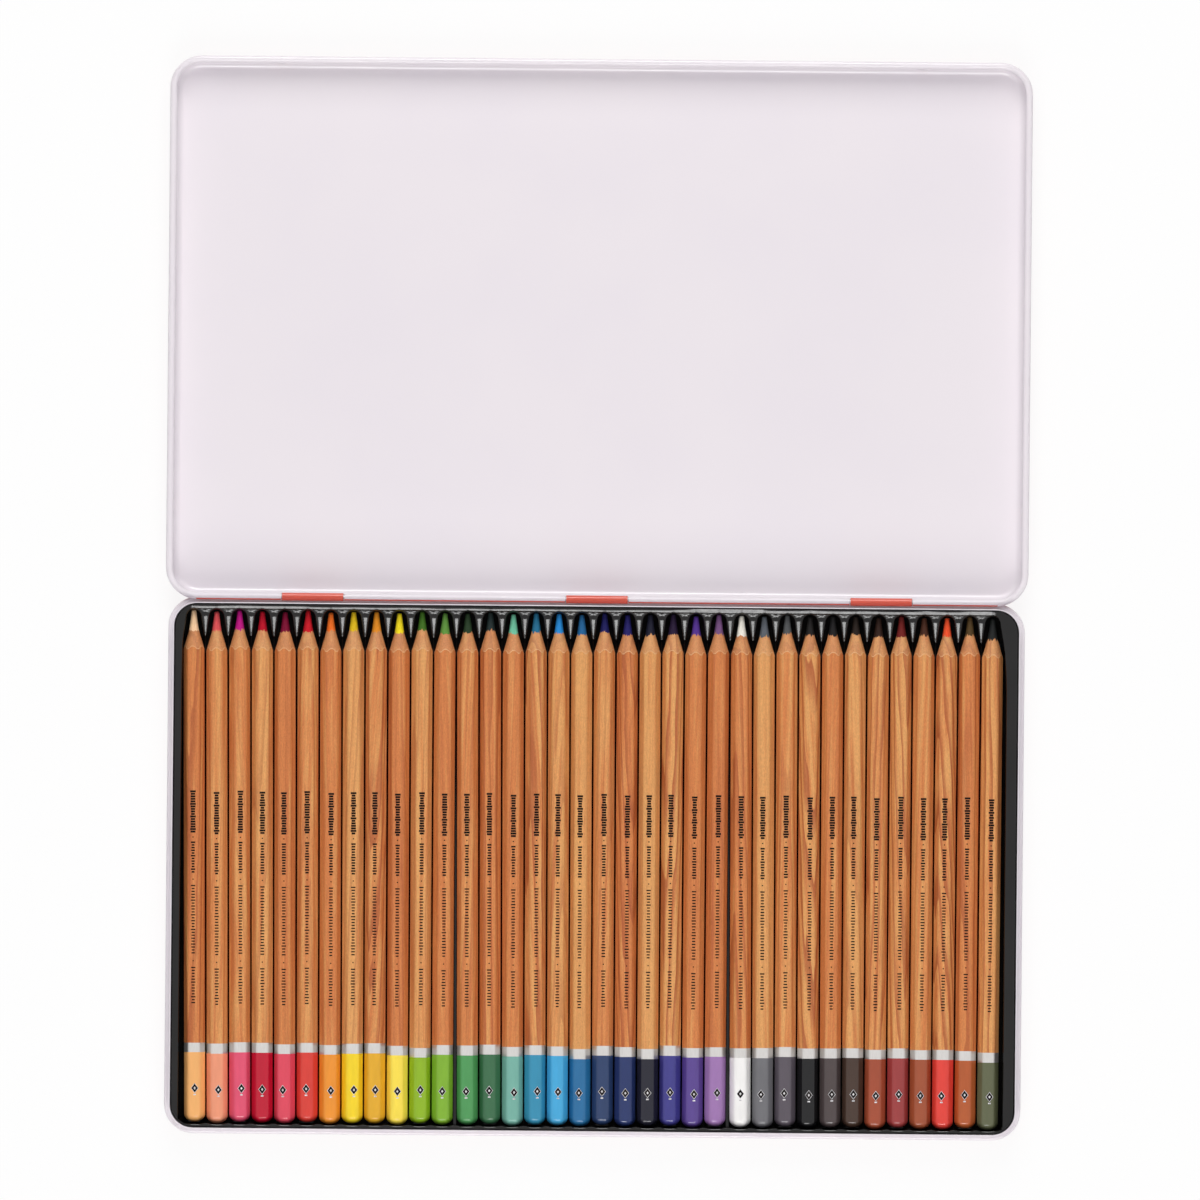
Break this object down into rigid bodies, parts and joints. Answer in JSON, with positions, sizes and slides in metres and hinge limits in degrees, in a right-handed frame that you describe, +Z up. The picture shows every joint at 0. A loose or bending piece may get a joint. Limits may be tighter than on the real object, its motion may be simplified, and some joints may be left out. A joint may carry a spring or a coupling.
{
  "type": "colored pencil tin",
  "caption": "Flat hinged tin, opened out, with hexagonal cedar colored pencils in a black moulded tray.",
  "frame": {"origin": "centre of the base pan's underside, on the surface the tin lies on", "axes": "+Y runs along the pencils to the hinge and the opened lid, +Z up, +X to the right with the points away from the user"},
  "size_m": [0.295, 0.3687, 0.0128],
  "materials": {
    "white_enamel": "glossy enamelled tinplate, white inside, coral red outside",
    "steel_wire": "drawn wire",
    "black_plastic": "glossy moulded sheet",
    "pencil_colour_01": "clear-varnished cedar with this colour on its core and dipped end",
    "pencil_colour_02": "clear-varnished cedar with this colour on its core and dipped end",
    "pencil_colour_03": "clear-varnished cedar with this colour on its core and dipped end",
    "pencil_colour_04": "clear-varnished cedar with this colour on its core and dipped end",
    "pencil_colour_05": "clear-varnished cedar with this colour on its core and dipped end",
    "pencil_colour_06": "clear-varnished cedar with this colour on its core and dipped end",
    "pencil_colour_07": "clear-varnished cedar with this colour on its core and dipped end",
    "pencil_colour_08": "clear-varnished cedar with this colour on its core and dipped end",
    "pencil_colour_09": "clear-varnished cedar with this colour on its core and dipped end",
    "pencil_colour_10": "clear-varnished cedar with this colour on its core and dipped end",
    "pencil_colour_11": "clear-varnished cedar with this colour on its core and dipped end",
    "pencil_colour_12": "clear-varnished cedar with this colour on its core and dipped end",
    "pencil_colour_13": "clear-varnished cedar with this colour on its core and dipped end",
    "pencil_colour_14": "clear-varnished cedar with this colour on its core and dipped end",
    "pencil_colour_15": "clear-varnished cedar with this colour on its core and dipped end",
    "pencil_colour_16": "clear-varnished cedar with this colour on its core and dipped end",
    "pencil_colour_17": "clear-varnished cedar with this colour on its core and dipped end",
    "pencil_colour_18": "clear-varnished cedar with this colour on its core and dipped end",
    "pencil_colour_19": "clear-varnished cedar with this colour on its core and dipped end",
    "pencil_colour_20": "clear-varnished cedar with this colour on its core and dipped end",
    "pencil_colour_21": "clear-varnished cedar with this colour on its core and dipped end",
    "pencil_colour_22": "clear-varnished cedar with this colour on its core and dipped end",
    "pencil_colour_23": "clear-varnished cedar with this colour on its core and dipped end",
    "pencil_colour_24": "clear-varnished cedar with this colour on its core and dipped end",
    "pencil_colour_25": "clear-varnished cedar with this colour on its core and dipped end",
    "pencil_colour_26": "clear-varnished cedar with this colour on its core and dipped end",
    "pencil_colour_27": "clear-varnished cedar with this colour on its core and dipped end",
    "pencil_colour_28": "clear-varnished cedar with this colour on its core and dipped end",
    "pencil_colour_29": "clear-varnished cedar with this colour on its core and dipped end",
    "pencil_colour_30": "clear-varnished cedar with this colour on its core and dipped end",
    "pencil_colour_31": "clear-varnished cedar with this colour on its core and dipped end",
    "pencil_colour_32": "clear-varnished cedar with this colour on its core and dipped end",
    "pencil_colour_33": "clear-varnished cedar with this colour on its core and dipped end",
    "pencil_colour_34": "clear-varnished cedar with this colour on its core and dipped end",
    "pencil_colour_35": "clear-varnished cedar with this colour on its core and dipped end",
    "pencil_colour_36": "clear-varnished cedar with this colour on its core and dipped end"
  },
  "bodies": {
    "base": {"base_pan": "white_enamel"},
    "lid": {"lid": "white_enamel", "hinge_pin_left": "steel_wire", "hinge_pin_centre": "steel_wire", "hinge_pin_right": "steel_wire"},
    "tray": {"tray": "black_plastic"},
    "pencil_01_body": {"pencil_01": "pencil_colour_01"},
    "pencil_02_body": {"pencil_02": "pencil_colour_02"},
    "pencil_03_body": {"pencil_03": "pencil_colour_03"},
    "pencil_04_body": {"pencil_04": "pencil_colour_04"},
    "pencil_05_body": {"pencil_05": "pencil_colour_05"},
    "pencil_06_body": {"pencil_06": "pencil_colour_06"},
    "pencil_07_body": {"pencil_07": "pencil_colour_07"},
    "pencil_08_body": {"pencil_08": "pencil_colour_08"},
    "pencil_09_body": {"pencil_09": "pencil_colour_09"},
    "pencil_10_body": {"pencil_10": "pencil_colour_10"},
    "pencil_11_body": {"pencil_11": "pencil_colour_11"},
    "pencil_12_body": {"pencil_12": "pencil_colour_12"},
    "pencil_13_body": {"pencil_13": "pencil_colour_13"},
    "pencil_14_body": {"pencil_14": "pencil_colour_14"},
    "pencil_15_body": {"pencil_15": "pencil_colour_15"},
    "pencil_16_body": {"pencil_16": "pencil_colour_16"},
    "pencil_17_body": {"pencil_17": "pencil_colour_17"},
    "pencil_18_body": {"pencil_18": "pencil_colour_18"},
    "pencil_19_body": {"pencil_19": "pencil_colour_19"},
    "pencil_20_body": {"pencil_20": "pencil_colour_20"},
    "pencil_21_body": {"pencil_21": "pencil_colour_21"},
    "pencil_22_body": {"pencil_22": "pencil_colour_22"},
    "pencil_23_body": {"pencil_23": "pencil_colour_23"},
    "pencil_24_body": {"pencil_24": "pencil_colour_24"},
    "pencil_25_body": {"pencil_25": "pencil_colour_25"},
    "pencil_26_body": {"pencil_26": "pencil_colour_26"},
    "pencil_27_body": {"pencil_27": "pencil_colour_27"},
    "pencil_28_body": {"pencil_28": "pencil_colour_28"},
    "pencil_29_body": {"pencil_29": "pencil_colour_29"},
    "pencil_30_body": {"pencil_30": "pencil_colour_30"},
    "pencil_31_body": {"pencil_31": "pencil_colour_31"},
    "pencil_32_body": {"pencil_32": "pencil_colour_32"},
    "pencil_33_body": {"pencil_33": "pencil_colour_33"},
    "pencil_34_body": {"pencil_34": "pencil_colour_34"},
    "pencil_35_body": {"pencil_35": "pencil_colour_35"},
    "pencil_36_body": {"pencil_36": "pencil_colour_36"}
  },
  "joints": [
    {"name": "lid_hinge", "type": "hinge", "parent": "base", "child": "lid", "pos_m": [0, 0.09205, 0.0075], "axis": [-1, 0, 0], "range_deg": [-180, 0]},
    {"name": "tray_lift", "type": "slide", "parent": "base", "child": "tray", "axis": [0, 0, 1], "range_m": [0, 0.04]},
    {"name": "pencil_01_lift", "type": "slide", "parent": "tray", "child": "pencil_01_body", "axis": [0, 0, 1], "range_m": [0, 0.03]},
    {"name": "pencil_02_lift", "type": "slide", "parent": "tray", "child": "pencil_02_body", "axis": [0, 0, 1], "range_m": [0, 0.03]},
    {"name": "pencil_03_lift", "type": "slide", "parent": "tray", "child": "pencil_03_body", "axis": [0, 0, 1], "range_m": [0, 0.03]},
    {"name": "pencil_04_lift", "type": "slide", "parent": "tray", "child": "pencil_04_body", "axis": [0, 0, 1], "range_m": [0, 0.03]},
    {"name": "pencil_05_lift", "type": "slide", "parent": "tray", "child": "pencil_05_body", "axis": [0, 0, 1], "range_m": [0, 0.03]},
    {"name": "pencil_06_lift", "type": "slide", "parent": "tray", "child": "pencil_06_body", "axis": [0, 0, 1], "range_m": [0, 0.03]},
    {"name": "pencil_07_lift", "type": "slide", "parent": "tray", "child": "pencil_07_body", "axis": [0, 0, 1], "range_m": [0, 0.03]},
    {"name": "pencil_08_lift", "type": "slide", "parent": "tray", "child": "pencil_08_body", "axis": [0, 0, 1], "range_m": [0, 0.03]},
    {"name": "pencil_09_lift", "type": "slide", "parent": "tray", "child": "pencil_09_body", "axis": [0, 0, 1], "range_m": [0, 0.03]},
    {"name": "pencil_10_lift", "type": "slide", "parent": "tray", "child": "pencil_10_body", "axis": [0, 0, 1], "range_m": [0, 0.03]},
    {"name": "pencil_11_lift", "type": "slide", "parent": "tray", "child": "pencil_11_body", "axis": [0, 0, 1], "range_m": [0, 0.03]},
    {"name": "pencil_12_lift", "type": "slide", "parent": "tray", "child": "pencil_12_body", "axis": [0, 0, 1], "range_m": [0, 0.03]},
    {"name": "pencil_13_lift", "type": "slide", "parent": "tray", "child": "pencil_13_body", "axis": [0, 0, 1], "range_m": [0, 0.03]},
    {"name": "pencil_14_lift", "type": "slide", "parent": "tray", "child": "pencil_14_body", "axis": [0, 0, 1], "range_m": [0, 0.03]},
    {"name": "pencil_15_lift", "type": "slide", "parent": "tray", "child": "pencil_15_body", "axis": [0, 0, 1], "range_m": [0, 0.03]},
    {"name": "pencil_16_lift", "type": "slide", "parent": "tray", "child": "pencil_16_body", "axis": [0, 0, 1], "range_m": [0, 0.03]},
    {"name": "pencil_17_lift", "type": "slide", "parent": "tray", "child": "pencil_17_body", "axis": [0, 0, 1], "range_m": [0, 0.03]},
    {"name": "pencil_18_lift", "type": "slide", "parent": "tray", "child": "pencil_18_body", "axis": [0, 0, 1], "range_m": [0, 0.03]},
    {"name": "pencil_19_lift", "type": "slide", "parent": "tray", "child": "pencil_19_body", "axis": [0, 0, 1], "range_m": [0, 0.03]},
    {"name": "pencil_20_lift", "type": "slide", "parent": "tray", "child": "pencil_20_body", "axis": [0, 0, 1], "range_m": [0, 0.03]},
    {"name": "pencil_21_lift", "type": "slide", "parent": "tray", "child": "pencil_21_body", "axis": [0, 0, 1], "range_m": [0, 0.03]},
    {"name": "pencil_22_lift", "type": "slide", "parent": "tray", "child": "pencil_22_body", "axis": [0, 0, 1], "range_m": [0, 0.03]},
    {"name": "pencil_23_lift", "type": "slide", "parent": "tray", "child": "pencil_23_body", "axis": [0, 0, 1], "range_m": [0, 0.03]},
    {"name": "pencil_24_lift", "type": "slide", "parent": "tray", "child": "pencil_24_body", "axis": [0, 0, 1], "range_m": [0, 0.03]},
    {"name": "pencil_25_lift", "type": "slide", "parent": "tray", "child": "pencil_25_body", "axis": [0, 0, 1], "range_m": [0, 0.03]},
    {"name": "pencil_26_lift", "type": "slide", "parent": "tray", "child": "pencil_26_body", "axis": [0, 0, 1], "range_m": [0, 0.03]},
    {"name": "pencil_27_lift", "type": "slide", "parent": "tray", "child": "pencil_27_body", "axis": [0, 0, 1], "range_m": [0, 0.03]},
    {"name": "pencil_28_lift", "type": "slide", "parent": "tray", "child": "pencil_28_body", "axis": [0, 0, 1], "range_m": [0, 0.03]},
    {"name": "pencil_29_lift", "type": "slide", "parent": "tray", "child": "pencil_29_body", "axis": [0, 0, 1], "range_m": [0, 0.03]},
    {"name": "pencil_30_lift", "type": "slide", "parent": "tray", "child": "pencil_30_body", "axis": [0, 0, 1], "range_m": [0, 0.03]},
    {"name": "pencil_31_lift", "type": "slide", "parent": "tray", "child": "pencil_31_body", "axis": [0, 0, 1], "range_m": [0, 0.03]},
    {"name": "pencil_32_lift", "type": "slide", "parent": "tray", "child": "pencil_32_body", "axis": [0, 0, 1], "range_m": [0, 0.03]},
    {"name": "pencil_33_lift", "type": "slide", "parent": "tray", "child": "pencil_33_body", "axis": [0, 0, 1], "range_m": [0, 0.03]},
    {"name": "pencil_34_lift", "type": "slide", "parent": "tray", "child": "pencil_34_body", "axis": [0, 0, 1], "range_m": [0, 0.03]},
    {"name": "pencil_35_lift", "type": "slide", "parent": "tray", "child": "pencil_35_body", "axis": [0, 0, 1], "range_m": [0, 0.03]},
    {"name": "pencil_36_lift", "type": "slide", "parent": "tray", "child": "pencil_36_body", "axis": [0, 0, 1], "range_m": [0, 0.03]}
  ]
}
